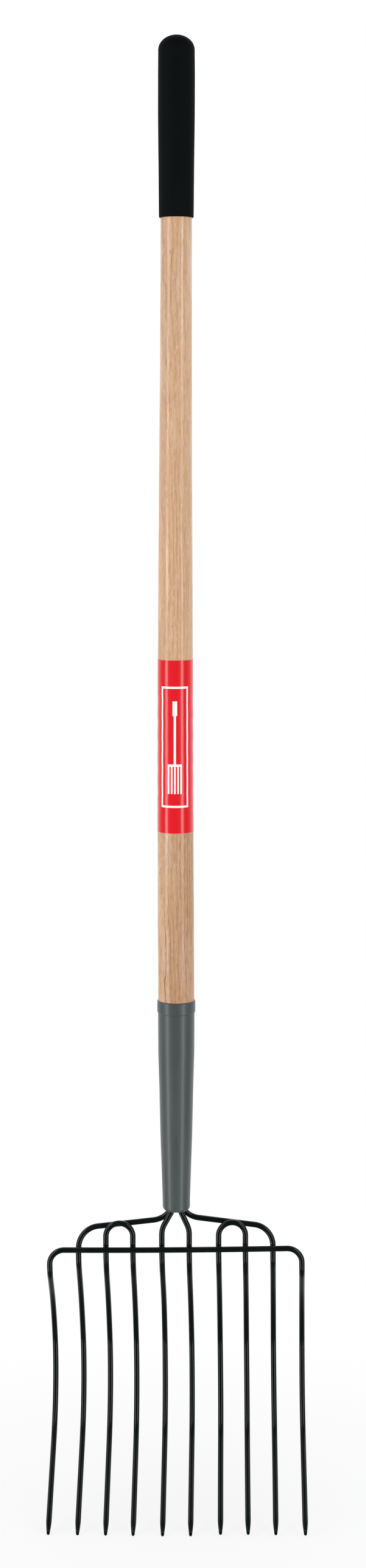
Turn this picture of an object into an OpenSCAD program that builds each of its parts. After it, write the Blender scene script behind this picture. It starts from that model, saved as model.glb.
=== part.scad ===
// Ten-tine bedding fork: a wooden handle in a long steel ferrule, with a head of seven bent wires.

/* [Handle] */
// Full length of the wooden handle, with the end that is hidden in the ferrule
handle_len = 1219; // [1150:1:1300]
// Length of the handle's end that is hidden in the ferrule
handle_seat = 193.9; // [180:0.1:196]
// Handle diameter under the end grip
handle_top_d = 33.3; // [31:0.1:35]
// Largest handle diameter, above the ferrule
handle_low_d = 39.5; // [38.5:0.1:40]

/* [End grip] */
// Length of the foam rubber grip, with its domed top
grip_len = 186.5; // [150:0.5:220]
// Largest diameter of the grip
grip_d = 38.6; // [37:0.1:44]
// Grip diameter at its open lower lip
grip_lip_d = 36.6; // [36:0.1:40]
// Height of the domed top
grip_dome = 15.5; // [12:0.5:16]
// Length of the straight stretch below the dome, which a rack's socket holds
grip_straight = 40; // [30:1:60]
// Thickness of the grip over the end of the handle
grip_cap = 10; // [10:0.5:14]

/* [Label band] */
// Height of the band around the handle
label_len = 188; // [120:1:190]
// Gap between the band and the top of the collar
label_gap = 188; // [150:1:200]
// Thickness of the band
label_t = 0.25; // [0.1:0.05:0.5]

/* [Ferrule] */
// Length of the ferrule from its mouth to its upper end
ferrule_len = 232; // [225:1:236]
// Diameter of the ferrule at its mouth
ferrule_mouth_d = 30.1; // [29.5:0.1:31]
// Wall thickness of the ferrule
ferrule_wall = 1.2; // [0.8:0.1:1.5]
// Height of the collar ring
collar_len = 14; // [10:0.5:18]
// How far the collar ring reaches down over the ferrule
collar_lap = 7; // [6:0.5:8]
// Outer diameter of the collar ring
collar_d = 41.6; // [41.2:0.1:44]
// Height of the screw above the mouth
screw_h = 190; // [160:1:200]

/* [Wire head] */
// Wire diameter
wire_d = 6; // [5.5:0.1:6]
// Distance from the fork's middle to the outer tines, at the crossbar
outer_x = 140.5; // [136:0.5:145]
// Distance from the fork's middle to the arm tines
arm_x = 108.4; // [106:0.2:110]
// Distance from the fork's middle to each hairpin's middle
hairpin_x = 62.8; // [61:0.2:65]
// Bend radius of a hairpin's crown
hairpin_r = 15; // [14:0.2:16]
// Distance from the fork's middle to the centre tines
centre_x = 15.2; // [14:0.2:17]
// Corner radius of the outer bow
bow_r = 16.5; // [12:0.5:20]
// Height of the ferrule's mouth above the crossbar
mouth_h = 42.6; // [40:0.2:46]
// Length of the tangs above the crossbar
tang_h = 150; // [140:1:160]
// How much wider the tines stand at their points than at the crossbar, as a share
tine_flare = 0.012; // [0:0.002:0.03]

/* [Tine curve] */
// Radius of the backward bend below the crossbar
set_r = 63; // [50:1:70]
// Angle of the backward bend
set_a = 32.5; // [28:0.5:36]
// Straight run after the backward bend
set_run = 17.5; // [10:0.5:25]
// Radius of the upper belly
belly_r = 275; // [220:5:320]
// Angle of the upper belly
belly_a = 17.5; // [14:0.5:20]
// Radius of the lower belly
scoop_r = 108; // [90:1:130]
// Angle of the lower belly
scoop_a = 65.5; // [58:0.5:70]
// Straight run from the lower belly to the end of the point
point_run = 111; // [80:0.1:120]
// Length of the tapered point
point_len = 17; // [12:1:24]
// Diameter of the blunt end of the point
point_d = 2.7; // [1.5:0.1:3.5]

/* [Hidden] */
$fa = 2;
$fs = 0.7;

wood = "burlywood";
black_paint = "#1a1c1e";
grey_paint = "#5a6062";

wire_r = wire_d / 2;
// How far the balls at the ends of each bend stand out of the wire
joint_swell = 0.04;
// Clearance between pieces that sit inside one another
fit_gap = 0.05;
// Distance between the middles of two wires that lie against each other
wire_pitch = wire_d + 0.1;

// Direction of a wire that heads down and, by angle a, towards the back
function heading(a) = [0, sin(a), -cos(a)];
function tangent(r, a) = r * tan(a / 2);
function unit(v) = v / norm(v);

// Depth positions, measured from the middle of the handle
tine_y = -wire_pitch / 2;
arm_y = wire_pitch / 2;
bar_y = tine_y - wire_pitch;

// Corners of one tine's curve below the crossbar, from a start at [y, z] = [tine_y, 0]
belly_head = set_a - belly_a;
point_head = belly_head - scoop_a;
set_corner = [0, tine_y, 0] + tangent(set_r, set_a) * heading(0);
belly_corner = set_corner
    + (tangent(set_r, set_a) + set_run + tangent(belly_r, belly_a)) * heading(set_a);
scoop_corner = belly_corner
    + (tangent(belly_r, belly_a) + tangent(scoop_r, scoop_a)) * heading(belly_head);
point_end = scoop_corner + (tangent(scoop_r, scoop_a) + point_run) * heading(point_head);

// The point is cut off by an upright face at the front, which leaves the lowest spot at its foot
cut_y = point_end.y + point_d / 2 * cos(point_head);
point_low = point_end.z + point_d / 2 * sin(point_head);
belly_back = scoop_corner.y - tangent(scoop_r, scoop_a) * sin(belly_head)
    + scoop_r * (1 - cos(belly_head)) + wire_r;

// The whole fork stands on its points, with the box's middle above the origin
axis_y = -(cut_y + belly_back) / 2;
bar_z = -point_low;
mouth_z = bar_z + mouth_h;
collar_z = mouth_z + ferrule_len - collar_lap;
collar_top_z = collar_z + collar_len;
label_z = collar_top_z + label_gap;

// The handle stands in the ferrule, and the grip covers its top
handle_end_z = mouth_z + ferrule_len - handle_seat;
handle_top_z = handle_end_z + handle_len;
grip_top_z = handle_top_z + grip_cap;

// Handle diameter at heights above the ferrule's mouth, from the top down
handle_shape = [[handle_top_z - mouth_z, handle_top_d], [1000, handle_top_d],
                [842, 34.9], [764, 35.9], [686, 37], [588, 38.1], [448, 38.9],
                [350, handle_low_d], [ferrule_len, handle_low_d]];
function handle_r(z) = lookup(z - mouth_z, handle_shape) / 2;

// Outer diameter of the ferrule at heights above its mouth, from the rounded rim up
mouth_round = 4;
ferrule_shape = [[mouth_round, ferrule_mouth_d], [14, ferrule_mouth_d + 0.2],
                 [48, 32.3], [85, 34.8], [115, 36.1], [140, 37], [165, 38.4],
                 [182, 39.2], [ferrule_len, 39.4]];

function outline(shape) = [for (p = shape) [p[1] / 2, p[0]]];
function inset(shape, t) = [for (p = shape) [p[1] / 2 - t, p[0]]];
function reversed(list) = [for (i = [len(list) - 1 : -1 : 0]) list[i]];

// Places children on the axis of the handle, at height z
module on_axis(z = 0) {
    translate([0, axis_y, z]) children();
}

// The screw goes in from the back and holds the ferrule to the wood
screw_shank_r = 1.8;
screw_len = 22;

// A bore for its shank, from the handle's middle towards the back
module screw_bore(len) {
    translate([0, 0, screw_h])
        rotate([-90, 0, 0]) cylinder(h = len, r = screw_shank_r + fit_gap);
}

// A rod of radius r along corner points, with the bend radii given for its inner corners
module bent_rod(points, radii, r = wire_r) {
    last = len(points) - 1;
    dirs = [for (i = [0 : last - 1]) unit(points[i + 1] - points[i])];
    turns = [for (i = [1 : last - 1]) acos(dirs[i - 1] * dirs[i])];
    trims = [0, for (i = [1 : last - 1]) tangent(radii[i - 1], turns[i - 1]), 0];
    for (i = [0 : last - 1]) {
        d = dirs[i];
        run = norm(points[i + 1] - points[i]) - trims[i] - trims[i + 1];
        if (run > 0.001)
            translate(points[i] + d * trims[i])
                rotate([0, acos(d.z), atan2(d.y, d.x)])
                    cylinder(h = run, r = r);
    }
    for (i = [1 : last - 1]) {
        in = dirs[i - 1];
        side = unit(dirs[i] - in * (in * dirs[i]));
        start = points[i] - in * trims[i];
        centre = start + side * radii[i - 1];
        u = -side;
        w = cross(u, in);
        multmatrix([[u.x, in.x, w.x, centre.x],
                    [u.y, in.y, w.y, centre.y],
                    [u.z, in.z, w.z, centre.z],
                    [0, 0, 0, 1]])
            rotate_extrude(angle = turns[i - 1])
                translate([radii[i - 1], 0])
                    circle(r = r);
    }
    // A ball a hair larger than the rod joins each stretch to the next
    for (i = [1 : last - 1], at = [points[i] - dirs[i - 1] * trims[i], points[i] + dirs[i] * trims[i]])
        translate(at) sphere(r + joint_swell);
}

// Moves a point from the head's own frame to the fork's frame, with the flare below the crossbar
function placed(p) = [p.x * (1 + tine_flare * max(0, p.z / point_low)), p.y + axis_y, p.z + bar_z];

// The corners of the tine at x, from its first bend to the start of its point
taper_start = point_end - point_len * heading(point_head);
function tine_corners(x) =
    [for (p = [set_corner, belly_corner, scoop_corner, taper_start]) placed([x, p.y, p.z])];
tine_radii = [set_r, belly_r, scoop_r];

// The tapered point of the tine at x, with its upright cut face
module tine_point(x) {
    from = placed([x, taper_start.y, taper_start.z]);
    to = placed([x, point_end.y, point_end.z]);
    d = unit(to - from);
    cut_size = 4 * wire_d;
    difference() {
        union() {
            translate(from)
                rotate([0, acos(d.z), atan2(d.y, d.x)])
                    cylinder(h = norm(to - from), r1 = wire_r, r2 = point_d / 2);
            translate(from) sphere(wire_r + joint_swell);
        }
        translate([from.x - cut_size / 2, cut_y + axis_y - cut_size, 0])
            translate([0, 0, -cut_size / 2])
                cube(cut_size);
    }
}

module handle() {
    tang_gap = 0.3;
    bore_spare = 6;
    tang_bore_r = wire_pitch / 2 * sqrt(2) + wire_r + tang_gap;
    bore_depth = bar_z + tang_h - handle_end_z + bore_spare;
    screw_bore_len = 24;
    seat_t = ferrule_wall + fit_gap;
    end_h = handle_end_z - mouth_z;
    seat = [for (p = ferrule_shape) if (p[0] > end_h) p];
    end_r = lookup(end_h, ferrule_shape) / 2 - seat_t;
    top_h = handle_top_z - mouth_z;
    shaft = reversed([for (p = handle_shape) if (p[0] < top_h) p]);
    chamfer = 2;
    color(wood)
        on_axis(mouth_z)
            difference() {
                rotate_extrude()
                    polygon(concat([[0, end_h], [end_r, end_h]],
                                   inset(seat, seat_t),
                                   outline(shaft),
                                   [[handle_top_d / 2, top_h - chamfer],
                                    [handle_top_d / 2 - chamfer, top_h],
                                    [0, top_h]]));
                translate([0, 0, end_h - 1]) cylinder(h = bore_depth + 1, r = tang_bore_r);
                screw_bore(screw_bore_len);
            }
}

// Foot of the straight stretch, below the dome, and how much the grip has narrowed further down
straight_drop = 65;
swell = [[45, 1], [15, 0.3]];

module grip() {
    bore_r = handle_top_d / 2 + fit_gap;
    // A narrow flat ring is left around the bore, and a small step under the dome
    ring_w = 0.2;
    dome_step = 0.2;
    lip_round = grip_lip_d / 2 - bore_r - ring_w;
    bottom = grip_top_z - grip_len;
    dome_z = grip_top_z - grip_dome;
    dome_r = grip_d / 2 - dome_step;
    straight_z = dome_z - straight_drop;
    lip = [for (a = [0 : 15 : 90]) [grip_lip_d / 2 - lip_round * (1 - cos(a - 90)),
                                   bottom + lip_round * (1 + sin(a - 90))]];
    dome = [for (a = [0 : 6 : 84]) [dome_r * cos(a), dome_z + grip_dome * sin(a)]];
    color("#22262a")
        on_axis()
            rotate_extrude()
                polygon(concat([[bore_r, bottom]],
                               lip,
                               [for (p = swell) [(grip_d - p[1]) / 2, straight_z - p[0]]],
                               [[grip_d / 2, straight_z], [grip_d / 2, straight_z + grip_straight]],
                               dome,
                               [[0, dome[len(dome) - 1].y],
                                [0, handle_top_z + fit_gap],
                                [bore_r, handle_top_z + fit_gap]]));
}

module label_band() {
    label_top_z = label_z + label_len;
    bends = [for (p = reversed(handle_shape)) p[0] + mouth_z];
    heights = concat(label_z, [for (z = bends) if (z > label_z && z < label_top_z) z], label_top_z);
    inside = [for (z = heights) [handle_r(z) + fit_gap, z]];
    outside = [for (p = reversed(inside)) [p.x + label_t, p.y]];
    color("crimson")
        on_axis()
            rotate_extrude()
                polygon(concat(inside, outside));
}

module ferrule() {
    screw_bore_len = 30;
    tube = [for (p = ferrule_shape) if (p[0] > mouth_round) p];
    rim = [for (a = [0 : 15 : 90]) [ferrule_mouth_d / 2 - mouth_round * (1 - sin(a)),
                                   mouth_round * (1 - cos(a))]];
    inner_rim = [for (p = reversed(rim)) [p.x - ferrule_wall, max(p.y, ferrule_wall / 2)]];
    color(grey_paint)
        on_axis(mouth_z)
            difference() {
                rotate_extrude()
                    polygon(concat(rim, outline(tube), inset(reversed(tube), ferrule_wall), inner_rim));
                screw_bore(screw_bore_len);
            }
}

module ferrule_collar() {
    lip = 1;
    bore_r = handle_low_d / 2 + fit_gap;
    r = collar_d / 2;
    low_lip = [for (a = [0 : 18 : 90]) [r - lip * (1 - sin(a)), lip * (1 - cos(a))]];
    high_lip = [for (p = reversed(low_lip)) [p.x, collar_len - p.y]];
    color(grey_paint)
        on_axis(collar_z)
            rotate_extrude()
                polygon(concat([[bore_r, 0]], low_lip, high_lip, [[bore_r, collar_len]]));
}

module ferrule_screw() {
    head_r = 4;
    head_h = 2.2;
    head_edge = 0.4;
    slot_w = 1;
    slot_depth = 1;
    shank_lap = 0.5;
    wall_y = lookup(screw_h, ferrule_shape) / 2 + fit_gap;
    dome = [for (a = [0 : 15 : 75]) [head_r * cos(a), head_edge + (head_h - head_edge) * sin(a)]];
    color("silver")
        on_axis(mouth_z + screw_h)
            translate([0, wall_y, 0])
                rotate([-90, 0, 0]) {
                    difference() {
                        rotate_extrude()
                            polygon(concat([[0, 0], [head_r, 0]], dome, [[0, head_h]]));
                        translate([-head_r, -slot_w / 2, head_h - slot_depth])
                            cube([2 * head_r, slot_w, 2 * slot_depth]);
                    }
                    translate([0, 0, -screw_len]) cylinder(h = screw_len + shank_lap, r = screw_shank_r);
                }
}

// The crossbar and the two outer tines are one wire, which lies in front of the other tines
bow_set_z = -26;
bow_set_r = 26;
bow_belly_r = 190;

module outer_bow() {
    start = [placed([outer_x, bar_y, 0]), placed([outer_x, bar_y, bow_set_z])];
    right = concat(start, [for (i = [1 : 3]) tine_corners(outer_x)[i]]);
    radii = [bow_r, bow_set_r, bow_belly_r, scoop_r];
    left = [for (p = reversed(right)) [-p.x, p.y, p.z]];
    color(black_paint) {
        bent_rod(concat(left, right), concat(reversed(radii), radii));
        for (x = [-outer_x, outer_x]) tine_point(x);
    }
}

// Height of the arms' sloping run above the crossbar
arm_slope = 6.7;
arm_run_z = 33.7;
function arm_z(x) = arm_run_z - (x - wire_pitch / 2) * tan(arm_slope);

// An arm comes out of the ferrule, reaches sideways behind the hairpin and turns down into a tine
module arm() {
    mouth_bend_r = 25;
    outer_bend_r = 23.8;
    set_back_r = 24;
    shoulder_z = arm_z(arm_x);
    lean = atan((arm_y - tine_y) / shoulder_z);
    // The leaning leg touches the crossbar, and meets the line of the tine's second leg
    touch_y = bar_y + wire_pitch / cos(lean);
    drop = ((set_corner.y - touch_y) * cos(set_a) + set_corner.z * sin(set_a)) / -sin(lean + set_a);
    leg = [arm_x, touch_y - drop * sin(lean), -drop * cos(lean)];
    corners = [[wire_pitch / 2, arm_y, tang_h], [wire_pitch / 2, arm_y, arm_run_z],
               [arm_x, arm_y, shoulder_z], leg];
    bent_rod(concat([for (p = corners) placed(p)], [for (i = [1 : 3]) tine_corners(arm_x)[i]]),
             [mouth_bend_r, outer_bend_r, set_back_r, belly_r, scoop_r]);
    tine_point(arm_x);
}

module arm_right() {
    color(black_paint) arm();
}

module arm_left() {
    color(black_paint) mirror([1, 0, 0]) arm();
}

hairpin_leg_z = 14;
crown_z = hairpin_leg_z + hairpin_r;

// A hairpin is one wire bent double, with a tine at each end
module hairpin() {
    inner = hairpin_x - hairpin_r;
    outer = hairpin_x + hairpin_r;
    // The crown's two bends meet at its top, with a hair between them
    bend_r = hairpin_r - 0.001;
    crown = [placed([inner, tine_y, crown_z]), placed([outer, tine_y, crown_z])];
    bent_rod(concat(reversed(tine_corners(inner)), crown, tine_corners(outer)),
             concat(reversed(tine_radii), [bend_r, bend_r], tine_radii));
    for (x = [inner, outer]) tine_point(x);
}

module hairpin_right() {
    color(black_paint) hairpin();
}

module hairpin_left() {
    color(black_paint) mirror([1, 0, 0]) hairpin();
}

// A centre tine comes straight down out of the ferrule, with a small set to the side
module centre_tine() {
    splay_a = 26.6;
    splay_r = 26;
    splay_z = 22;
    inner_z = splay_z + (centre_x - wire_pitch / 2) / tan(splay_a);
    tang_short = 4;
    corners = [[wire_pitch / 2, tine_y, tang_h - tang_short], [wire_pitch / 2, tine_y, inner_z],
               [centre_x, tine_y, splay_z]];
    bent_rod(concat([for (p = corners) placed(p)], tine_corners(centre_x)),
             concat([splay_r, splay_r], tine_radii));
    tine_point(centre_x);
}

module centre_tine_right() {
    color(black_paint) centre_tine();
}

module centre_tine_left() {
    color(black_paint) mirror([1, 0, 0]) centre_tine();
}

// Weld beads fill the notch between the crossbar and each tine, above and below the bar
module crossbar_welds() {
    bead_r = 2;
    bead_len = 7;
    bead_z = 3.6;
    cut_len = 20;
    xs = [centre_x, hairpin_x - hairpin_r, hairpin_x + hairpin_r, arm_x];
    color(black_paint)
        for (x = xs, side = [-1, 1], up = [-1, 1])
            translate([side * x, axis_y + (bar_y + tine_y) / 2, bar_z])
                difference() {
                    translate([0, 0, up * bead_z])
                        rotate([0, 90, 0]) cylinder(h = bead_len, r = bead_r, center = true);
                    translate([0, -wire_pitch / 2, 0])
                        rotate([0, 90, 0]) cylinder(h = cut_len, r = wire_r, center = true);
                    translate([0, wire_pitch / 2, 0]) cylinder(h = cut_len, r = wire_r, center = true);
                }
}

// Weld beads between each hairpin's crown and the arm behind it
module hairpin_welds() {
    bead_r = 2;
    bead_len = 8;
    bead_rise = 2;
    cut_len = 30;
    color(black_paint)
        for (side = [-1, 1])
            translate([side * hairpin_x, axis_y, bar_z])
                difference() {
                    translate([0, 0, crown_z + bead_rise])
                        rotate([0, 90, 0]) cylinder(h = bead_len, r = bead_r, center = true);
                    translate([0, tine_y, hairpin_leg_z])
                        rotate([90, 0, 0])
                            rotate_extrude() translate([hairpin_r, 0]) circle(r = wire_r);
                    translate([0, arm_y, arm_z(hairpin_x)])
                        rotate([0, 90 + side * arm_slope, 0])
                            cylinder(h = cut_len, r = wire_r, center = true);
                }
}

handle();
grip();
label_band();
ferrule();
ferrule_collar();
ferrule_screw();
outer_bow();
arm_left();
arm_right();
hairpin_left();
hairpin_right();
centre_tine_left();
centre_tine_right();
crossbar_welds();
hairpin_welds();
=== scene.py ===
import math

import bmesh
import bpy
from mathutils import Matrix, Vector, noise


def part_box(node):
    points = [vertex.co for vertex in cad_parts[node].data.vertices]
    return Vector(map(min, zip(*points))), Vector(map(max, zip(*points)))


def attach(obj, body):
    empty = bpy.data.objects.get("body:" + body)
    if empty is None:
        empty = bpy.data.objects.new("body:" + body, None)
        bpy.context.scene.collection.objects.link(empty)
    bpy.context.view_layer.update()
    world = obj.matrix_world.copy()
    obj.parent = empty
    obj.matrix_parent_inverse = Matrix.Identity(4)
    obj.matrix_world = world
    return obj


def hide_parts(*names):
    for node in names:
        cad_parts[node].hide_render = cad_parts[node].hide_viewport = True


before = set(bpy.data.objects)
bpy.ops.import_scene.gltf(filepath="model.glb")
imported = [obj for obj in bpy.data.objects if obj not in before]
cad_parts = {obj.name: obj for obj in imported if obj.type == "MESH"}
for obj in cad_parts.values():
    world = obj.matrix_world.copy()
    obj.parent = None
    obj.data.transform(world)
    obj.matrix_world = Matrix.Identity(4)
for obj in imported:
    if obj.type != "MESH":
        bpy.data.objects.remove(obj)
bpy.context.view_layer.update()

print("frame loaded:", len(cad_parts), "nodes")

# places that everything else is measured from, in metres
handleLow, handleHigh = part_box("handle")
gripLow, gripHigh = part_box("grip")
labelLow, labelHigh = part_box("label_band")
ferruleLow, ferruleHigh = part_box("ferrule")
collarLow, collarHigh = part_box("ferrule_collar")
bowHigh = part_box("outer_bow")[1]
axisY = (handleLow.y + handleHigh.y) / 2
mm = 0.001


class Value:
    # one output of a node, so that sums on it can be written as sums
    def __init__(self, finish, socket):
        self.finish = finish
        self.socket = socket

    def __add__(self, other): return self.finish.maths("ADD", self, other)
    def __radd__(self, other): return self.finish.maths("ADD", other, self)
    def __sub__(self, other): return self.finish.maths("SUBTRACT", self, other)
    def __rsub__(self, other): return self.finish.maths("SUBTRACT", other, self)
    def __mul__(self, other): return self.finish.maths("MULTIPLY", self, other)
    def __rmul__(self, other): return self.finish.maths("MULTIPLY", other, self)
    def __truediv__(self, other): return self.finish.maths("DIVIDE", self, other)
    def __rtruediv__(self, other): return self.finish.maths("DIVIDE", other, self)
    def __pow__(self, other): return self.finish.maths("POWER", self, other)
    def __abs__(self): return self.finish.maths("ABSOLUTE", self)

    def ramp(self, low, high, start=0.0, end=1.0):
        # from start to end, smoothly, as the value goes from low to high
        settings = {"interpolation_type": "SMOOTHSTEP", "clamp": True}
        places = {"Value": self, "From Min": low, "From Max": high, "To Min": start, "To Max": end}
        return self.finish.node("ShaderNodeMapRange", settings, places, "Result")


class Sheet:
    # a node tree that nodes are laid on
    def __init__(self, tree):
        self.tree = tree
        tree.nodes.clear()

    def plug(self, socket, value):
        if isinstance(value, Value):
            self.tree.links.new(value.socket, socket)
        elif hasattr(value, "__len__") and socket.type == "RGBA" and len(value) == 3:
            socket.default_value = (*value, 1)
        else:
            socket.default_value = value

    def node(self, kind, settings=None, places=None, output=0):
        made = self.tree.nodes.new(kind)
        for word, value in (settings or {}).items():
            setattr(made, word, value)
        for place, value in (places or {}).items():
            self.plug(made.inputs[place], value)
        return Value(self, made.outputs[output])

    def maths(self, operation, *values):
        return self.node("ShaderNodeMath", {"operation": operation}, dict(enumerate(values)))

    def split(self, vector):
        parts = self.tree.nodes.new("ShaderNodeSeparateXYZ")
        self.plug(parts.inputs[0], vector)
        return [Value(self, socket) for socket in parts.outputs]

    def blend(self, share, first, second):
        return self.node("ShaderNodeMix", {"data_type": "RGBA"}, {0: share, 6: first, 7: second}, 2)


class Finish(Sheet):
    # one material: a Principled shader, with its even values set on its own sockets
    def __init__(self, name, **even):
        self.material = bpy.data.materials.new(name)
        self.material.use_nodes = True
        super().__init__(self.material.node_tree)
        self.shader = self.tree.nodes.new("ShaderNodeBsdfPrincipled")
        output = self.tree.nodes.new("ShaderNodeOutputMaterial")
        self.tree.links.new(self.shader.outputs[0], output.inputs["Surface"])
        self.paint(**even)

    def spot(self):
        return self.node("ShaderNodeTexCoord", None, None, "Object")

    def stretch(self, vector, x, y, z):
        return self.node("ShaderNodeVectorMath", {"operation": "MULTIPLY"}, {0: vector, 1: (x, y, z)})

    def grain(self, vector, scale, detail=2.0, rough=0.5, output="Fac"):
        places = {"Vector": vector, "Scale": scale, "Detail": detail, "Roughness": rough}
        return self.node("ShaderNodeTexNoise", None, places, output)

    def cells(self, vector, scale, spread=1.0):
        places = {"Vector": vector, "Scale": scale, "Randomness": spread}
        return self.node("ShaderNodeTexVoronoi", None, places, "Distance")

    def bump(self, height, strength, distance):
        places = {"Height": height, "Strength": strength, "Distance": distance}
        self.plug(self.shader.inputs["Normal"], self.node("ShaderNodeBump", None, places, "Normal"))

    def paint(self, **sockets):
        for word, value in sockets.items():
            self.plug(self.shader.inputs[word.replace("_", " ")], value)
        return self.material


woodLook = {
    "light": (0.705, 0.438, 0.258),
    "dark": (0.400, 0.208, 0.102),
    "pale": (0.800, 0.590, 0.455),
    "line": (0.235, 0.112, 0.060),
    "pore": (0.225, 0.112, 0.062),
    "pith": (0.046, 0.031),      # middle of the growth rings, off the handle
    "ringWidth": 0.0034,
    "roughness": 0.40,
    "lowDark": (0.58, 1.00),     # heights between which the grain grows fainter, in metres
    "heart": (-0.0130, -0.0045), # and how far to the side the darker heartwood begins
}


def makeWood():
    look = woodLook
    wood = Finish("lacquered hardwood", Coat_Roughness=0.11, Specular_IOR_Level=0.3)
    spot = wood.spot()
    # the rings wander along the handle, so they show as long lines and pointed arches
    sway = wood.grain(wood.stretch(spot, 30, 30, 8), 1, 4, 0.6, "Color")
    slow = wood.grain(wood.stretch(spot, 5, 5, 1.3), 1, 1, 0.5, "Color")
    swayX, swayY, swayZ = wood.split(sway)
    slowX, slowY, slowZ = wood.split(slow)
    x, y, z = wood.split(spot)
    fromPithX = x - look["pith"][0] + (swayX - 0.5) * 0.011 + (slowX - 0.5) * 0.05 + z * 0.006
    fromPithY = y - look["pith"][1] + (swayY - 0.5) * 0.011 + (slowY - 0.5) * 0.05
    reach = wood.maths("SQRT", fromPithX * fromPithX + fromPithY * fromPithY)
    phase = wood.maths("FRACT", reach / look["ringWidth"])
    lateWood = phase.ramp(0.40, 0.92) * (1 - phase.ramp(0.94, 1.0))
    earlyWood = 1 - phase.ramp(0.0, 0.42)
    strength = wood.grain(wood.stretch(spot, 40, 40, 3.4), 1, 2).ramp(0.36, 0.62)
    lower = z.ramp(*look["lowDark"], 1.0, 0.0)
    heart = (x + (swayX - 0.5) * 0.012).ramp(*look["heart"]) * lower
    # fine fibres, and open pores that lie along them in short dashes
    fibre = wood.grain(wood.stretch(spot, 1500, 1500, 60), 1, 3, 0.6)
    thread = wood.grain(wood.stretch(spot, 420, 420, 20), 1, 3, 0.6)
    pores = wood.grain(wood.stretch(spot, 1050, 1050, 95), 1, 1, 0.5).ramp(0.585, 0.68)
    ray = wood.grain(wood.stretch(spot, 640, 640, 150), 1, 2, 0.6).ramp(0.52, 0.70)
    cloud = wood.grain(wood.stretch(spot, 70, 70, 9), 1, 3, 0.6)
    mood = wood.grain(wood.stretch(spot, 14, 14, 3.0), 1, 2, 0.5)
    colour = wood.blend(lateWood * strength * (0.40 + lower * 0.30) + 0.04, look["light"], look["dark"])
    colour = wood.blend(heart * 0.56, colour, look["dark"])
    colour = wood.blend(cloud.ramp(0.50, 0.68) * (0.42 - heart * 0.25), colour, look["pale"])
    colour = wood.blend(mood.ramp(0.45, 0.66) * (0.10 + lower * 0.18), colour, look["dark"])
    colour = wood.blend(thread.ramp(0.46, 0.66) * (0.26 + lower * 0.10), colour, look["dark"])
    edge = phase.ramp(0.80, 0.92) * (1 - phase.ramp(0.95, 1.0))
    seam = edge * strength * thread.ramp(0.36, 0.56)
    colour = wood.blend(seam * (0.20 + lower * 0.62), colour, look["line"])
    colour = wood.blend(fibre.ramp(0.45, 0.66) * 0.20, colour, look["pore"])
    colour = wood.blend(pores * (earlyWood * 0.30 + 0.14 + lower * 0.14), colour, look["pore"])
    colour = wood.blend(ray * (0.34 - heart * 0.16), colour, look["pale"])
    wood.bump(fibre * 0.5 + thread * 0.4 + cloud * 0.8 - pores * 0.9 - lateWood * 0.2, 0.45, 0.0002)
    rough = look["roughness"] + thread * 0.22 + pores * 0.15
    coat = (0.45 + cloud.ramp(0.40, 0.60) * 0.55) * (1 - lower * 0.6)
    return wood.paint(Base_Color=colour, Roughness=rough, Coat_Weight=coat)


foamLook = {"colour": (0.0020, 0.0036, 0.0036), "bloom": (0.0060, 0.0066, 0.0080), "roughness": 0.60}


def makeFoam():
    look = foamLook
    foam = Finish("foam rubber", Specular_IOR_Level=0.09)
    spot = foam.spot()
    pits = foam.cells(spot, 1500)
    skin = foam.grain(spot, 2600, 2, 0.6)
    cloud = foam.grain(foam.stretch(spot, 60, 60, 22), 1, 3, 0.55)
    dust = foam.grain(spot, 900, 3, 0.7).ramp(0.62, 0.78)
    colour = foam.blend(cloud.ramp(0.45, 0.75) * 0.25 + dust * 0.10, look["colour"], look["bloom"])
    foam.bump(pits * 0.7 + skin * 0.5 + cloud * 0.4, 0.45, 0.00018)
    return foam.paint(Base_Color=colour, Roughness=look["roughness"] + cloud * 0.16 + skin * 0.08)


labelLook = {
    "red": (0.760, 0.0060, 0.0150),
    "deep": (0.620, 0.004, 0.011),
    "white": (0.94, 0.92, 0.92),
    "line": 2.3 * mm,
    "frameAngle": math.radians(47),   # half the width of the outline, round the handle
    "frameTurn": math.radians(-2.5),  # the band was wrapped a little askew
    "frameBottom": 29.1 * mm,         # from the band's lower edge
    "frameTop": 27.6 * mm,            # from the band's upper edge
    "signHandle": 1.3 * mm, "signGrip": 2.6 * mm, "signBar": 8.0 * mm,   # half widths of the printed fork
    "signProng": 0.95 * mm, "signGap": 3.5 * mm,
}


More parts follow.
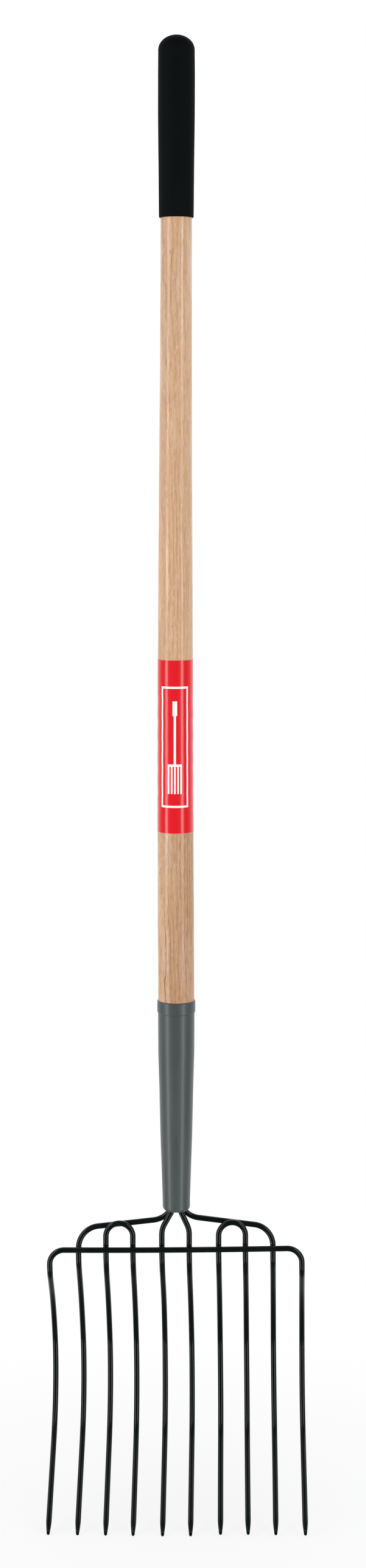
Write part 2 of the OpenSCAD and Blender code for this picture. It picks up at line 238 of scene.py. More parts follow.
def makeLabel():
    look = labelLook
    film = Finish("printed label film", Coat_Weight=1.0, Coat_Roughness=0.16, Specular_IOR_Level=0.16)
    spot = film.spot()
    x, y, z = film.split(spot)
    radius = (labelHigh.x - labelLow.x) / 2
    # distance round the front, and height, from the middle of the outline
    across = (film.maths("ARCTAN2", x, axisY - y) - look["frameTurn"]) * radius
    low = labelLow.z + look["frameBottom"]
    high = labelHigh.z - look["frameTop"]
    halfWide = look["frameAngle"] * radius
    halfTall = (high - low) / 2
    up = z - (low + high) / 2

    def box(wide, tall, soft=0.00012, overX=0.0, overZ=0.0):
        # 1 inside a rectangle, with a slightly soft printed edge
        fromSide = abs(across - overX)
        fromEnd = abs(up - overZ)
        return (1 - fromSide.ramp(wide - soft, wide + soft)) * (1 - fromEnd.ramp(tall - soft, tall + soft))

    line = look["line"]
    outline = box(halfWide, halfTall) - box(halfWide - line, halfTall - line)
    # a plain sign of a fork: a grip, a handle, a bar and five tines
    barZ = -halfTall * 0.30
    sign = [box(look["signHandle"], halfTall * 0.50, overZ=halfTall * 0.20)]
    sign.append(box(look["signGrip"], halfTall * 0.12, overZ=halfTall * 0.64))
    sign.append(box(look["signBar"], look["signHandle"], overZ=barZ))
    for place in range(-2, 3):
        prongX = place * look["signGap"]
        sign.append(box(look["signProng"], halfTall * 0.24, overX=prongX, overZ=barZ - halfTall * 0.23))
    mark = outline
    for shape in sign:
        mark = film.maths("MAXIMUM", mark, shape)
    ink = film.grain(spot, 1900, 2, 0.6)
    cloud = film.grain(film.stretch(spot, 45, 45, 20), 1, 2)
    red = film.blend(cloud.ramp(0.40, 0.70) * 0.10 + ink * 0.05, look["red"], look["deep"])
    colour = film.blend(mark * 0.97, red, look["white"])
    scuff = film.grain(film.stretch(spot, 900, 900, 70), 1, 2, 0.6).ramp(0.66, 0.78)
    film.bump(cloud * 0.5 + mark * 0.06 + ink * 0.04, 0.2, 0.0002)
    return film.paint(Base_Color=colour, Roughness=0.30 + scuff * 0.12 + cloud * 0.05)


ferruleLook = {
    "grey": (0.054, 0.067, 0.068),
    "pale": (0.071, 0.083, 0.084),
    "steel": (0.34, 0.34, 0.33),
    "roughness": 0.36,
}


def makeFerrulePaint():
    look = ferruleLook
    paint = Finish("grey ferrule paint", Coat_Weight=0.28, Coat_Roughness=0.22, Specular_IOR_Level=0.5)
    spot = paint.spot()
    peel = paint.grain(spot, 620, 2, 0.5)
    fine = paint.grain(spot, 3200, 2, 0.6)
    cloud = paint.grain(paint.stretch(spot, 70, 70, 14), 1, 3, 0.55)
    edge = paint.node("ShaderNodeNewGeometry", None, None, "Pointiness")
    chips = paint.grain(spot, 1300, 3, 0.7).ramp(0.60, 0.66) * edge.ramp(0.53, 0.58)
    dots = paint.grain(spot, 1750, 1, 0.5).ramp(0.72, 0.78)
    colour = paint.blend(cloud.ramp(0.36, 0.68) * 0.55 + fine * 0.12, look["grey"], look["pale"])
    colour = paint.blend(dots * 0.22, colour, (0.030, 0.034, 0.035))
    colour = paint.blend(chips * 0.7, colour, look["steel"])
    paint.bump(peel * 1.0 + fine * 0.10 - chips * 0.5, 0.35, 0.00012)
    return paint.paint(Base_Color=colour, Roughness=look["roughness"] + cloud * 0.10 + fine * 0.05)


wireLook = {
    "black": (0.0026, 0.0052, 0.0052),
    "worn": (0.010, 0.0125, 0.0125),
    "roughness": 0.12,
}


def makeWirePaint():
    look = wireLook
    paint = Finish("black wire paint", Coat_Weight=0.3, Coat_Roughness=0.07, Specular_IOR_Level=0.25)
    spot = paint.spot()
    x, y, z = paint.split(spot)
    peel = paint.grain(spot, 430, 2, 0.5)
    fine = paint.grain(spot, 2400, 2, 0.6)
    cloud = paint.grain(paint.stretch(spot, 55, 55, 18), 1, 3, 0.6)
    rub = paint.grain(paint.stretch(spot, 700, 700, 240), 1, 3, 0.65).ramp(0.52, 0.70)
    # the points are handled most, so their paint is a little dulled
    low = 1 - z.ramp(0.004, 0.060)
    colour = paint.blend(cloud.ramp(0.40, 0.72) * 0.30 + rub * low * 0.35, look["black"], look["worn"])
    paint.bump(peel * 0.8 + fine * 0.03 + cloud * 0.6, 0.24, 0.00012)
    rough = look["roughness"] + cloud * 0.07 + rub * low * 0.10 + fine * 0.02
    return paint.paint(Base_Color=colour, Roughness=rough)


screwLook = {"zinc": (0.52, 0.53, 0.54), "dull": (0.30, 0.30, 0.29), "roughness": 0.28}


def makeScrewSteel():
    look = screwLook
    steel = Finish("zinc plated steel", Metallic=1.0)
    spot = steel.spot()
    streak = steel.grain(steel.stretch(spot, 2600, 300, 600), 1, 3, 0.6)
    cloud = steel.grain(spot, 420, 3, 0.6)
    colour = steel.blend(cloud.ramp(0.42, 0.66) * 0.7, look["zinc"], look["dull"])
    steel.bump(streak * 0.6 + cloud * 0.4, 0.3, 0.00008)
    return steel.paint(Base_Color=colour, Roughness=look["roughness"] + cloud * 0.25 + streak * 0.1)


wood = makeWood()
foam = makeFoam()
labelFilm = makeLabel()
ferrulePaint = makeFerrulePaint()
wirePaint = makeWirePaint()
screwSteel = makeScrewSteel()
print("materials made")


def makePiece(name, points, faces, material, slot, *nodes):
    # a mesh that rides with the fork and stands for its CAD nodes
    mesh = bpy.data.meshes.new(name)
    mesh.from_pydata([tuple(p) for p in points], [], faces)
    mesh.validate()
    shell = bmesh.new()
    shell.from_mesh(mesh)
    bmesh.ops.recalc_face_normals(shell, faces=shell.faces)
    shell.to_mesh(mesh)
    shell.free()
    mesh.shade_smooth()
    mesh.set_sharp_from_angle(angle=math.radians(38))
    mesh.materials.append(material)
    piece = bpy.data.objects.new(name, mesh)
    bpy.context.scene.collection.objects.link(piece)
    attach(piece, "root")
    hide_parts(*nodes)
    return piece


# a wooden handle is never quite straight: its bend to the side, above the collar
handleBend = {"sag": -1.9 * mm, "lean": 0.6 * mm}


def bent(height):
    t = (height - collarHigh.z) / (handleHigh.z - collarHigh.z)
    if t < 0:
        return 0
    return handleBend["sag"] * math.sin(math.pi * min(t, 1)) * (1 - t) + handleBend["lean"] * t


def turned(outline, sides, skin=None):
    # points and faces of an outline of (radius, height), turned about the handle's axis
    # it runs anticlockwise in its half plane, and closes on itself or on the axis
    points, faces, rings = [], [], []
    for radius, height in outline:
        if radius < 1e-7:
            rings.append([len(points)] * sides)
            points.append((bent(height), axisY, height))
            continue
        rings.append([len(points) + k for k in range(sides)])
        for k in range(sides):
            angle = 2 * math.pi * k / sides
            r = radius + (skin(angle, radius, height) if skin else 0)
            points.append((r * math.sin(angle) + bent(height), axisY - r * math.cos(angle), height))
    for i, ring in enumerate(rings):
        above = rings[(i + 1) % len(rings)]
        for k in range(sides):
            n = (k + 1) % sides
            face = [ring[k], ring[n], above[n], above[k]]
            corners = [v for j, v in enumerate(face) if v != face[j - 1]]
            if len(corners) > 2:
                faces.append(corners)
    return points, faces


def cadProfile(node):
    # the widest radius at each height of a turned CAD node, from the foot up
    widest = {}
    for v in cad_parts[node].data.vertices:
        height = round(v.co.z, 5)
        widest[height] = max(widest.get(height, 0), math.hypot(v.co.x, v.co.y - axisY))
    return sorted(widest.items())


def smoothed(profile, low, high, step):
    # a smooth line of (radius, height) through a profile of (height, radius), with no new bumps
    zs = [z for z, r in profile]
    rs = [r for z, r in profile]
    slopes = [(rs[i + 1] - rs[i]) / (zs[i + 1] - zs[i]) for i in range(len(zs) - 1)]
    ends = [slopes[0]]
    for a, b in zip(slopes, slopes[1:]):
        ends.append(0 if a * b <= 0 else 2 * a * b / (a + b))
    ends.append(slopes[-1])
    line = []
    count = max(2, round((high - low) / step))
    for k in range(count + 1):
        z = low + (high - low) * k / count
        i = max(0, min(len(slopes) - 1, sum(1 for h in zs if h <= z) - 1))
        width = zs[i + 1] - zs[i]
        t = max(0, min(1, (z - zs[i]) / width))
        r = ((1 + 2 * t) * (1 - t) ** 2 * rs[i] + t * (1 - t) ** 2 * width * ends[i]
             + t * t * (3 - 2 * t) * rs[i + 1] + t * t * (t - 1) * width * ends[i + 1])
        line.append((r, z))
    return line


def arc(middle, wide, start, end, count, tall=None):
    # points of (radius, height) round part of an ellipse, with angles in degrees
    tall = wide if tall is None else tall
    line = []
    for k in range(count + 1):
        a = math.radians(start + (end - start) * k / count)
        line.append((middle[0] + wide * math.cos(a), middle[1] + tall * math.sin(a)))
    return line


turnedSides = 144

# the handle, with the bore for the tangs in its foot
handleMake = {"tangBore": 7.6 * mm, "boreDepth": 75 * mm, "edge": 0.5 * mm, "topRound": 2.0 * mm,
              "step": 9 * mm}
profile = [(z, r) for z, r in cadProfile("handle") if r > handleMake["tangBore"] * 1.1]
stepZ = ferruleHigh.z
seat = [(z, r) for z, r in profile if z < stepZ - 1 * mm]
seat.append((stepZ, seat[-1][1] + 0.1 * mm))
shaft = [(z, r) for z, r in profile if z > stepZ - 1 * mm and z < handleHigh.z - 1 * mm]
topR = max(r for z, r in profile if z > handleHigh.z - 3 * mm)
boreTop = handleLow.z + handleMake["boreDepth"]
topRound = handleMake["topRound"]
outline = [(0, boreTop), (handleMake["tangBore"], boreTop), (handleMake["tangBore"], handleLow.z)]
outline.append((seat[0][1] - handleMake["edge"], handleLow.z))
outline += smoothed(seat, handleLow.z + handleMake["edge"], stepZ, handleMake["step"])
outline += smoothed(shaft, stepZ, handleHigh.z - topRound - 1 * mm, handleMake["step"])
outline += arc((topR - topRound, handleHigh.z - topRound), topRound, 5, 90, 5)
outline.append((0, handleHigh.z))
makePiece("handle_wood", *turned(outline, turnedSides), wood, "handle_wood", "handle")

# the end grip: a moulded foam sleeve with a domed top
gripMake = {"domeHigh": 15.5 * mm, "lipRound": 1.5 * mm, "gap": 0.05 * mm, "dent": 0.10 * mm, "step": 4 * mm}


def gripSkin(angle, radius, height):
    # moulded foam is never quite even
    if radius < topR + 0.6 * mm and height < gripHigh.z - gripMake["domeHigh"]:
        return 0
    share = min(1, radius / (10 * mm))
    place = Vector((math.sin(angle) * 1.4, math.cos(angle) * 1.4, height * 30))
    return gripMake["dent"] * share * noise.noise(place)


domeFoot = gripHigh.z - gripMake["domeHigh"]
bore = topR + gripMake["gap"]
lip = gripMake["lipRound"]
profile = cadProfile("grip")
lipR = max(r for z, r in profile if z < gripLow.z + 4 * mm)
sleeve = [(z, r) for z, r in profile if gripLow.z + 8 * mm < z < domeFoot - 1 * mm]
sleeve = [(gripLow.z + lip, lipR)] + sleeve + [(domeFoot, sleeve[-1][1])]
boreEnd = handleHigh.z + gripMake["gap"]
outline = [(0, boreEnd), (bore, boreEnd), (bore, gripLow.z + 0.2 * mm)]
outline += arc((lipR - lip, gripLow.z + lip), lip, -90, -8, 7)
outline += smoothed(sleeve, gripLow.z + lip, domeFoot, gripMake["step"])
outline += arc((0, domeFoot), sleeve[-1][1], 4, 88, 26, gripMake["domeHigh"])
outline.append((0, gripHigh.z))
grip = makePiece("end_grip", *turned(outline, turnedSides, gripSkin), foam, "grip_foam", "grip")

# the label: a thin film wrapped round the handle, with a lapped seam at the back
labelMake = {"lap": 0.12 * mm, "lapAngle": math.radians(4), "edge": 0.08 * mm, "step": 6 * mm,
             "low": 1.0 * mm, "high": 0.5 * mm, "film": 0.25 * mm, "sides": 180}
profile = cadProfile("label_band")


def labelSkin(angle, radius, height):
    # the free edge of the film lies over its start, a little to one side of the back
    past = (angle - math.pi) / labelMake["lapAngle"]
    return labelMake["lap"] * (max(0, 1 - past / 5) if past > 0 else 0)


foot, head = labelLow.z + labelMake["low"], labelHigh.z + labelMake["high"]
outside = smoothed(profile, foot, head, labelMake["step"])
inside = [(r - labelMake["film"], z) for r, z in reversed(outside)]
outside = [(outside[0][0] - labelMake["edge"], foot)] + [
    (r, min(max(z, foot + labelMake["edge"]), head - labelMake["edge"])) for r, z in outside
] + [(outside[-1][0] - labelMake["edge"], head)]
band = turned(outside + inside, labelMake["sides"], labelSkin)
makePiece("label_film", *band, labelFilm, "label_film", "label_band")

# the ferrule: a drawn tube with a rounded mouth
ferruleMake = {"mouthRound": 5 * mm, "wall": 1.2 * mm, "step": 5 * mm, "lift": 0.8 * mm,
               "swell": ((0, 0.15 * mm), (0.6, 0.2 * mm), (0.9, 0.38 * mm), (1, 0.38 * mm))}
mouthRound = ferruleMake["mouthRound"]
wall = ferruleMake["wall"]
mouthZ = ferruleLow.z + ferruleMake["lift"]


def swollen(z):
    share = (z - mouthZ) / (ferruleHigh.z - mouthZ)
    for (low, a), (high, b) in zip(ferruleMake["swell"], ferruleMake["swell"][1:]):
        if share <= high:
            return a + (b - a) * max(0, share - low) / (high - low)
    return b


profile = [(z, r) for z, r in cadProfile("ferrule") if z > mouthZ + mouthRound - 2 * mm]
profile = [(z, r + swollen(z)) for z, r in profile]
mouthR = profile[0][1]
tube = smoothed(profile, mouthZ + mouthRound, ferruleHigh.z, ferruleMake["step"])
rim = arc((mouthR - mouthRound, mouthZ + mouthRound), mouthRound, -90, -6, 10)
rimInside = arc((mouthR - mouthRound, mouthZ + mouthRound), mouthRound - wall, -6, -90, 8)
outline = rim + tube + [(r - wall, z) for r, z in reversed(tube)] + rimInside
outline += arc((mouthR - mouthRound, mouthZ + wall / 2), wall / 2, 110, 250, 6)
makePiece("ferrule_tube", *turned(outline, turnedSides), ferrulePaint, "ferrule_paint", "ferrule")

# the collar: a rolled ring over the upper end of the ferrule
collarMake = {"round": 1.7 * mm, "lowRound": 1.2 * mm, "crown": 0.12 * mm, "full": 0.1 * mm,
              "lift": 1.1 * mm}
collarR = (collarHigh.x - collarLow.x) / 2 + collarMake["full"]
collarBore = min(math.hypot(v.co.x, v.co.y - axisY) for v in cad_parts["ferrule_collar"].data.vertices)
high, low = collarMake["round"], collarMake["lowRound"]
foot, head = collarLow.z + collarMake["lift"], collarHigh.z + collarMake["lift"]
sideLow, sideHigh = foot + low, head - high
outline = [(collarBore, foot)]
outline += arc((collarR - low, sideLow), low, -90, -6, 8)
for k in range(7):
    t = k / 6
    outline.append((collarR + collarMake["crown"] * 4 * t * (1 - t), sideLow + (sideHigh - sideLow) * t))
outline += arc((collarR - high, sideHigh), high, 8, 84, 10)
outline.append((collarBore + 0.2 * mm, head - 0.25 * mm))
outline.append((collarBore, head - 0.7 * mm))
collar = turned(outline, turnedSides)
makePiece("ferrule_collar_ring", *collar, ferrulePaint, "ferrule_paint", "ferrule_collar")

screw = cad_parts["ferrule_screw"]
for place in screw.material_slots:
    place.material = screwSteel
print("handle, grip, label and ferrule made")


wireMake = {
    "radius": 3.2 * mm,
    "cadRadius": 3.0 * mm,
    "pitch": 6.1 * mm,          # between the middles of two wires that touch
    "swell": 0.04 * mm,         # how far the CAD bends stand out at their ends
    "flare": 0.012,             # how much wider the points stand than the crossbar
    "sides": 20,
    "step": 5 * mm,
    "bendStep": math.radians(4),
}
tineMake = {
    "setRadius": 63 * mm, "setAngle": math.radians(32.5), "setRun": 17.5 * mm,
    "bellyRadius": 275 * mm, "bellyAngle": math.radians(17.5),
    "scoopRadius": 108 * mm, "scoopAngle": math.radians(65.5),
    "pointRun": 111 * mm, "pointLength": 17 * mm, "pointWidth": 3.2 * mm,
    "pointRings": 9, "pointRound": 1.5,
}
headMake = {
    "bowX": 140.5 * mm, "armX": 108.4 * mm, "centreX": 15.2 * mm,
    "hairpinX": 62.8 * mm, "hairpinRadius": 15 * mm,
    "tangRise": 150 * mm,
    "bowRadius": 16.5 * mm, "bowSetZ": -26 * mm, "bowSetRadius": 26 * mm, "bowBellyRadius": 190 * mm,
    "armSlope": math.radians(6.7), "armRunZ": 33.7 * mm, "armBends": (25 * mm, 23.8 * mm, 24 * mm),
    "crownZ": 29 * mm,
    "splayAngle": math.radians(26.6), "splayRadius": 26 * mm, "splayZ": 22 * mm,
    "tilt": 0.017,              # the crossbar stands a little higher on the right,
    "sag": 1.0 * mm,            # and hangs a little in its middle
    "armLift": {"left": -0.4 * mm, "right": 2.4 * mm},
    "lean": 0.010, "aside": -0.7 * mm,      # the tines lean a little to the right
    "uneven": 0.5 * mm,                     # hand-bent wire is never quite even
    "short": 0.7 * mm, "shortRight": 3 * mm,    # the points on the right are cut shorter
}
wireR = wireMake["radius"]
barZ = bowHigh.z - wireMake["cadRadius"] - wireMake["swell"]
tineY = -wireMake["pitch"] / 2
armY = wireMake["pitch"] / 2
barY = tineY - wireMake["pitch"]


def heading(angle):
    return Vector((0, math.sin(angle), -math.cos(angle)))


def trim(radius, angle):
    return radius * math.tan(angle / 2)


def rows(*names):
    return [tineMake[name] for name in names]


setRadius, setAngle, setRun, bellyRadius, bellyAngle, scoopRadius, scoopAngle = rows(
    "setRadius", "setAngle", "setRun", "bellyRadius", "bellyAngle", "scoopRadius", "scoopAngle")
bellyHead = setAngle - bellyAngle
pointHead = bellyHead - scoopAngle
setCorner = Vector((0, tineY, 0)) + trim(setRadius, setAngle) * heading(0)
setLength = trim(setRadius, setAngle) + setRun + trim(bellyRadius, bellyAngle)
bellyLength = trim(bellyRadius, bellyAngle) + trim(scoopRadius, scoopAngle)
bellyCorner = setCorner + setLength * heading(setAngle)
scoopCorner = bellyCorner + bellyLength * heading(bellyHead)
pointEnd = scoopCorner + (trim(scoopRadius, scoopAngle) + tineMake["pointRun"]) * heading(pointHead)
pointR = tineMake["pointWidth"] / 2
pointLow = pointEnd.z + pointR * math.sin(pointHead)
taperStart = pointEnd - tineMake["pointLength"] * heading(pointHead)
cutAhead = pointEnd.y + pointR * math.cos(pointHead) - taperStart.y   # from the taper's start to its cut face
tineRadii = [setRadius, bellyRadius, scoopRadius]


def placed(p):
    # from the head's own frame to the fork's, with the flare below the crossbar
    return Vector((p.x * (1 + wireMake["flare"] * max(0, p.z / pointLow)), p.y + axisY, p.z + barZ))


tineXs = [side * x for side in (-1, 1) for x in (
    headMake["bowX"], headMake["armX"], headMake["hairpinX"] + headMake["hairpinRadius"],
    headMake["hairpinX"] - headMake["hairpinRadius"], headMake["centreX"])]
tineXs.sort()


def tineAt(x):
    # which tine, counted from the left, starts at x on the crossbar
    return min(range(10), key=lambda i: abs(tineXs[i] - x))


def eased(t):
    t = max(0, min(1, t))
    return t * t * (3 - 2 * t)


def astray(tine, z):
    # how far a tine stands to the side of its even place
    wander = noise.noise(Vector((tine * 1.7, z * 9, 0.5)))
    return headMake["aside"] + headMake["lean"] * (barZ - z) + headMake["uneven"] * wander


def tineCorners(x):
    short = headMake["short"] + headMake["shortRight"] * eased(x / headMake["hairpinX"])
    corners = [setCorner, bellyCorner, scoopCorner, taperStart - short * heading(pointHead)]
    return [placed(Vector((x, p.y, p.z))) for p in corners]


def rod(corners, radii):
    # points along a line with rounded corners
    line = []
    start = corners[0]
    for i in range(1, len(corners)):
        ahead = (corners[i] - corners[i - 1]).normalized()
        last = i == len(corners) - 1
        if not last:
            onward = (corners[i + 1] - corners[i]).normalized()
            turn = ahead.angle(onward)
            cut = trim(radii[i - 1], turn)
        end = corners[i] if last else corners[i] - ahead * cut
        count = max(1, round((end - start).length / wireMake["step"]))
        line += [start.lerp(end, k / count) for k in range(count)]
        if last:
            line.append(end)
            break
        side = (onward - ahead * ahead.dot(onward)).normalized()
        middle = end + side * radii[i - 1]
        count = max(3, round(turn / wireMake["bendStep"]), round(radii[i - 1] * turn / wireMake["step"]))
        for k in range(count):
            a = turn * k / count
            line.append(middle - side * radii[i - 1] * math.cos(a) + ahead * radii[i - 1] * math.sin(a))
        start = corners[i] + onward * cut
    return line


def strayed(point, tine, ends):
    # ends: the places between which the wire is above the bar, and how far it strays there
    x, y, z = point
    rise = headMake["tilt"] * x + headMake["sag"] * (x / headMake["bowX"]) ** 2
    rise *= eased((z - 0.12) / (barZ - 0.12))
    aside = astray(tine, z)
    if z > barZ:
        (x0, a), (x1, b) = ends
        aside = a + (b - a) * eased((x - x0) / (x1 - x0))
    return Vector((x + aside, y, z + rise))


def pointRadius(along):
    # the point narrows slowly at first and then faster
    t = along / tineMake["pointLength"]
    return wireR - (wireR - pointR) * max(0, t) ** tineMake["pointRound"]


def tubed(line, pointed):
    # a tube along a line; pointed says which of its ends are tapered tine points
    sides = wireMake["sides"]
    points, faces, rings = [], [], []
    ways = []
    for i in range(len(line)):
        ways.append((line[min(i + 1, len(line) - 1)] - line[max(i - 1, 0)]).normalized())
    across = ways[0].orthogonal().normalized()
    frames = []
    for way in ways:
        across = (across - way * across.dot(way)).normalized()
        frames.append((across.copy(), way.cross(across)))

    def ring(middle, radii, pair):
        made = []
        for k in range(sides):
            a = 2 * math.pi * k / sides
            made.append(len(points))
            points.append(middle[k] + (pair[0] * math.cos(a) + pair[1] * math.sin(a)) * radii[k])
        return made

    def point(start, way, pair):
        # rings from the taper's start to its upright cut face, in order
        reach = []
        for k in range(sides):
            a = 2 * math.pi * k / sides
            out = pair[0] * math.cos(a) + pair[1] * math.sin(a)
            s = tineMake["pointLength"]
            for again in range(20):
                s = (cutAhead - out.y * pointRadius(s)) / way.y
            reach.append(s)
        made = []
        count = tineMake["pointRings"]
        for j in range(1, count + 1):
            along = [s * j / count for s in reach]
            made.append(ring([start + way * s for s in along], [pointRadius(s) for s in along], pair))
        return made

    def facing(loop, inset, ahead):
        # a slightly sunk middle for an end face
        middle = sum((points[v] for v in loop), Vector()) / sides
        inner = []
        for v in loop:
            inner.append(len(points))
            points.append(points[v].lerp(middle, inset) + ahead)
        return inner

    even = [wireR] * sides
    if pointed[0]:
        rings += reversed(point(line[0], -ways[0], frames[0]))
    for place, pair in zip(line, frames):
        rings.append(ring([place] * sides, even, pair))
    if pointed[1]:
        rings += point(line[-1], ways[-1], frames[-1])
    first = facing(rings[0], 0.22, Vector((0, -0.08 * mm, 0)) if pointed[0] else Vector())
    last = facing(rings[-1], 0.22, Vector((0, -0.08 * mm, 0)) if pointed[1] else Vector())
    rings = [first] + rings + [last]
    for a, b in zip(rings, rings[1:]):
        for k in range(sides):
            n = (k + 1) % sides
            faces.append([a[k], a[n], b[n], b[k]])
    for loop, flip in ((rings[0], True), (rings[-1], False)):
        middle = len(points)
        points.append(sum((points[v] for v in loop), Vector()) / sides)
        for k in range(sides):
            pair = [loop[k], loop[(k + 1) % sides]]
            faces.append([middle] + (pair[::-1] if flip else pair))
    return points, faces


def wire(name, corners, radii, ends, pointed, node):
    # ends holds the places where the wire's two halves cross the bar, or where its tang stands
    line = rod(corners, radii)
    half = len(line) / 2
    tines = [tineAt(x) for x in ends]
    if not pointed[0]:
        tines[0] = tines[1]
    strays = [astray(tine, barZ) for tine in tines]
    if not pointed[0]:
        strays[0] = 0
    ends = list(zip(ends, strays))
    line = [strayed(p, tines[0] if i < half else tines[1], ends) for i, p in enumerate(line)]
    makePiece(name, *tubed(line, pointed), wirePaint, "wire_paint", node)


def at(x, y, z):
    return placed(Vector((x, y, z)))


# the crossbar and the two outer tines are one wire
bowX = headMake["bowX"]
halves = []
for side in (-1, 1):
    x = side * bowX
    halves.append([at(x, barY, 0), at(x, barY, headMake["bowSetZ"])] + tineCorners(x)[1:])
bowRadii = [headMake["bowRadius"], headMake["bowSetRadius"], headMake["bowBellyRadius"], scoopRadius]
bowLine = halves[0][::-1] + halves[1]
wire("outer_bow_wire", bowLine, bowRadii[::-1] + bowRadii, (-bowX, bowX), (True, True), "outer_bow")

# an arm comes out of the ferrule, reaches sideways behind the hairpin and turns down into a tine
armX, armRunZ, slope = headMake["armX"], headMake["armRunZ"], headMake["armSlope"]
shoulderZ = armRunZ - (armX - wireMake["pitch"] / 2) * math.tan(slope)
lean = math.atan((armY - tineY) / shoulderZ)
touchY = barY + wireMake["pitch"] / math.cos(lean)
drop = (touchY - setCorner.y) * math.cos(setAngle) - setCorner.z * math.sin(setAngle)
drop /= math.sin(lean + setAngle)
for side, name in ((-1, "left"), (1, "right")):
    x = side * armX
    tang = side * wireMake["pitch"] / 2
    corners = [at(tang, armY, headMake["tangRise"]), at(tang, armY, armRunZ + headMake["armLift"][name]),
               at(x, armY, shoulderZ),
               at(x, touchY - drop * math.sin(lean), -drop * math.cos(lean))] + tineCorners(x)[1:]
    wire("arm_wire_" + name, corners, [*headMake["armBends"], bellyRadius, scoopRadius],
         (tang, x), (False, True), "arm_" + name)

# a hairpin is one wire bent double, with a tine at each end
hairpinR, crownZ = headMake["hairpinRadius"], headMake["crownZ"]
bendR = hairpinR - 0.001 * mm
for side, name in ((-1, "left"), (1, "right")):
    xs = [side * headMake["hairpinX"] - hairpinR, side * headMake["hairpinX"] + hairpinR]
    crown = [at(x, tineY, crownZ) for x in xs]
    corners = tineCorners(xs[0])[::-1] + crown + tineCorners(xs[1])
    wire("hairpin_wire_" + name, corners, [*tineRadii[::-1], bendR, bendR, *tineRadii],
         xs, (True, True), "hairpin_" + name)

# a centre tine comes straight down out of the ferrule, with a small set to the side
splayZ, splayR = headMake["splayZ"], headMake["splayRadius"]
for side, name in ((-1, "left"), (1, "right")):
    x = side * headMake["centreX"]
    tang = side * wireMake["pitch"] / 2
    innerZ = splayZ + (abs(x) - abs(tang)) / math.tan(headMake["splayAngle"])
    corners = [at(tang, tineY, headMake["tangRise"] - 4 * mm), at(tang, tineY, innerZ), at(x, tineY, splayZ)]
    wire("centre_wire_" + name, corners + tineCorners(x), [splayR, splayR, *tineRadii],
         (tang, x), (False, True), "centre_tine_" + name)
print("wires made")

# weld beads, laid in the notches where the wires cross
weldMake = {"length": 6.4 * mm, "radius": 1.25 * mm, "ripple": 0.08, "lump": 0.2, "rings": 14, "sides": 12,
            "barRise": 2.4 * mm, "crownRise": 0.6 * mm}


def bead(middle, way, seed, points, faces):
    # a short rippled bead, rounded at its ends
    count, sides = weldMake["rings"], weldMake["sides"]
    side = way.orthogonal().normalized()
    up = way.cross(side)
    first = len(points)
    for j in range(1, count):
        t = 2 * j / count - 1
        body = weldMake["radius"] * math.sqrt(1 - abs(t) ** 2.6)
        body *= 1 + weldMake["ripple"] * math.sin(j * 2.1 + seed)
        for k in range(sides):
            a = 2 * math.pi * k / sides
            out = side * math.cos(a) + up * math.sin(a)
            place = out * 1.3 + Vector((t * 2.2, seed * 3.7, seed))
            r = body * (1 + weldMake["lump"] * noise.noise(place))
            points.append(middle + way * (t * weldMake["length"] / 2) + out * r)
    for j in range(count - 2):
        for k in range(sides):
            a = first + j * sides
            n = (k + 1) % sides
            faces.append([a + k, a + n, a + sides + n, a + sides + k])
    for end, start, flip in ((-1, first, True), (1, first + (count - 2) * sides, False)):
        tip = len(points)
        points.append(middle + way * (end * weldMake["length"] / 2))
        for k in range(sides):
            pair = [start + k, start + (k + 1) % sides]
            faces.append([tip] + (pair[::-1] if flip else pair))


points, faces = [], []
seed = 0
for x in tineXs[1:-1]:
    for up in (-1, 1):
        seed += 1
        stray = (x, astray(tineAt(x), barZ))
        z = up * weldMake["barRise"]
        middle = strayed(at(x, (barY + tineY) / 2, z), tineAt(x), (stray, (x + 1, stray[1])))
        bead(middle, Vector((1, 0, 0)), seed, points, faces)
makePiece("bar_weld_beads", points, faces, wirePaint, "wire_paint", "crossbar_welds")

points, faces = [], []
for side in (-1, 1):
    seed += 1
    middle = strayed(at(side * headMake["hairpinX"], 0, crownZ + weldMake["crownRise"]), 0, ((0, 0), (1, 0)))
    bead(middle, Vector((1, 0, -side * math.tan(slope))).normalized(), seed, points, faces)
makePiece("hairpin_weld_beads", points, faces, wirePaint, "wire_paint", "hairpin_welds")
print("welds made")


floorMake = {"radius": 0.85, "back": 0.52, "sides": 96, "pale": (0.92, 0.92, 0.92),
             "glow": 0.82, "clearFrom": 0.05, "clearTo": 0.6}
floorMesh = bpy.data.meshes.new("floor")
rim = []
for k in range(floorMake["sides"]):
    turn = 2 * math.pi * k / floorMake["sides"]
    out, back = floorMake["radius"] * math.cos(turn), floorMake["radius"] * math.sin(turn)
    rim.append((out, floorMake["back"] + back, 0))
floorMesh.from_pydata(rim, [], [range(len(rim))])
floor = bpy.data.objects.new("floor", floorMesh)
bpy.context.scene.collection.objects.link(floor)
floor.visible_glossy = False    # so that the black paint doesn't mirror the bright floor
floorPaint = Finish("pale floor", Base_Color=floorMake["pale"], Roughness=0.9, Specular_IOR_Level=0.1)
x, y, z = floorPaint.split(floorPaint.spot())
away = floorPaint.maths("SQRT", x * x + y * y)
glow = floorPaint.node("ShaderNodeEmission", None, {"Color": (1, 1, 1, 1), "Strength": 1.0})
clear = away.ramp(floorMake["clearFrom"], floorMake["clearTo"], floorMake["glow"], 1)
matt = Value(floorPaint, floorPaint.shader.outputs[0])
mixed = floorPaint.node("ShaderNodeMixShader", None, {0: clear, 1: matt, 2: glow})
output = [n for n in floorPaint.tree.nodes if n.type == "OUTPUT_MATERIAL"][0]
floorPaint.tree.links.new(mixed.socket, output.inputs["Surface"])
floorMesh.materials.append(floorPaint.material)

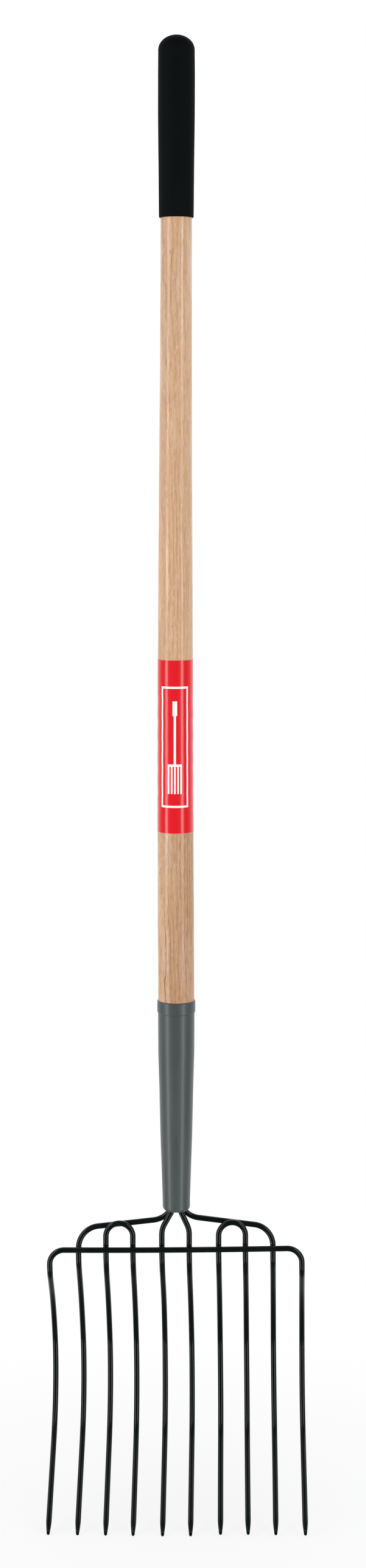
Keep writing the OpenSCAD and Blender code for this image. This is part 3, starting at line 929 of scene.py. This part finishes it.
# a white studio behind the fork, and a dim one in front of it
studio = {"ambient": 0.565, "dim": 0.05, "bright": 0.95}
world = bpy.data.worlds.new("studio")
bpy.context.scene.world = world
world.use_nodes = True
sky = Sheet(world.node_tree)
direction = sky.node("ShaderNodeTexCoord", None, None, "Generated")
dx, dy, dz = sky.split(direction)
seen = sky.node("ShaderNodeLightPath", None, None, "Is Camera Ray")
gloss = sky.node("ShaderNodeLightPath", None, None, "Is Glossy Ray")
mirrored = dy.ramp(-0.25, 0.75, studio["dim"], studio["bright"])
level = gloss * mirrored + (1 - gloss) * studio["ambient"]
level = seen + (1 - seen) * level
back = sky.node("ShaderNodeBackground", None, {"Color": (1, 1, 1, 1), "Strength": level})
worldOutput = sky.tree.nodes.new("ShaderNodeOutputWorld")
sky.tree.links.new(back.socket, worldOutput.inputs["Surface"])

stripMake = {"away": 2.3, "height": 0.25, "wide": 0.66, "tall": 4.4, "aim": 0.25}
topMake = {"away": 1.35, "height": 1.5, "wide": 0.5, "tall": 0.9, "aim": 0.12}
softLights = {
    "left strip": {**stripMake, "around": -57, "power": 39},
    "right strip": {**stripMake, "around": 46, "power": 35},
    "left top": {**topMake, "around": -88, "power": 1.4},
    "right top": {**topMake, "around": 88, "power": 1.1},
}
for name, make in softLights.items():
    light = bpy.data.lights.new(name, "AREA")
    light.shape = "RECTANGLE"
    light.size, light.size_y = make["wide"], make["tall"]
    light.energy = make["power"]
    lamp = bpy.data.objects.new(name, light)
    turn = math.radians(make["around"])
    lamp.location = (make["away"] * math.sin(turn), axisY - make["away"] * math.cos(turn), make["height"])
    ray = Vector((0, axisY, make["aim"])) - lamp.location
    lamp.rotation_euler = ray.to_track_quat("-Z", "Y").to_euler()
    lamp.visible_camera = False
    bpy.context.scene.collection.objects.link(lamp)

cameraMake = {"lens": 54.5, "away": 2.555, "height": 1.1827, "down": 7.854, "around": 1.6, "aside": 0.0074}
camera = bpy.data.objects.new("camera", bpy.data.cameras.new("camera"))
bpy.context.scene.collection.objects.link(camera)
turn = math.radians(cameraMake["around"])
camera.data.lens = cameraMake["lens"]
camera.location = (cameraMake["away"] * math.sin(turn) + cameraMake["aside"] * math.cos(turn),
                   axisY - cameraMake["away"] * math.cos(turn) + cameraMake["aside"] * math.sin(turn),
                   cameraMake["height"])
camera.rotation_euler = (math.radians(90 - cameraMake["down"]), 0, turn)
bpy.context.scene.camera = camera
bpy.context.scene.view_settings.view_transform = "Standard"
print("studio and camera made")
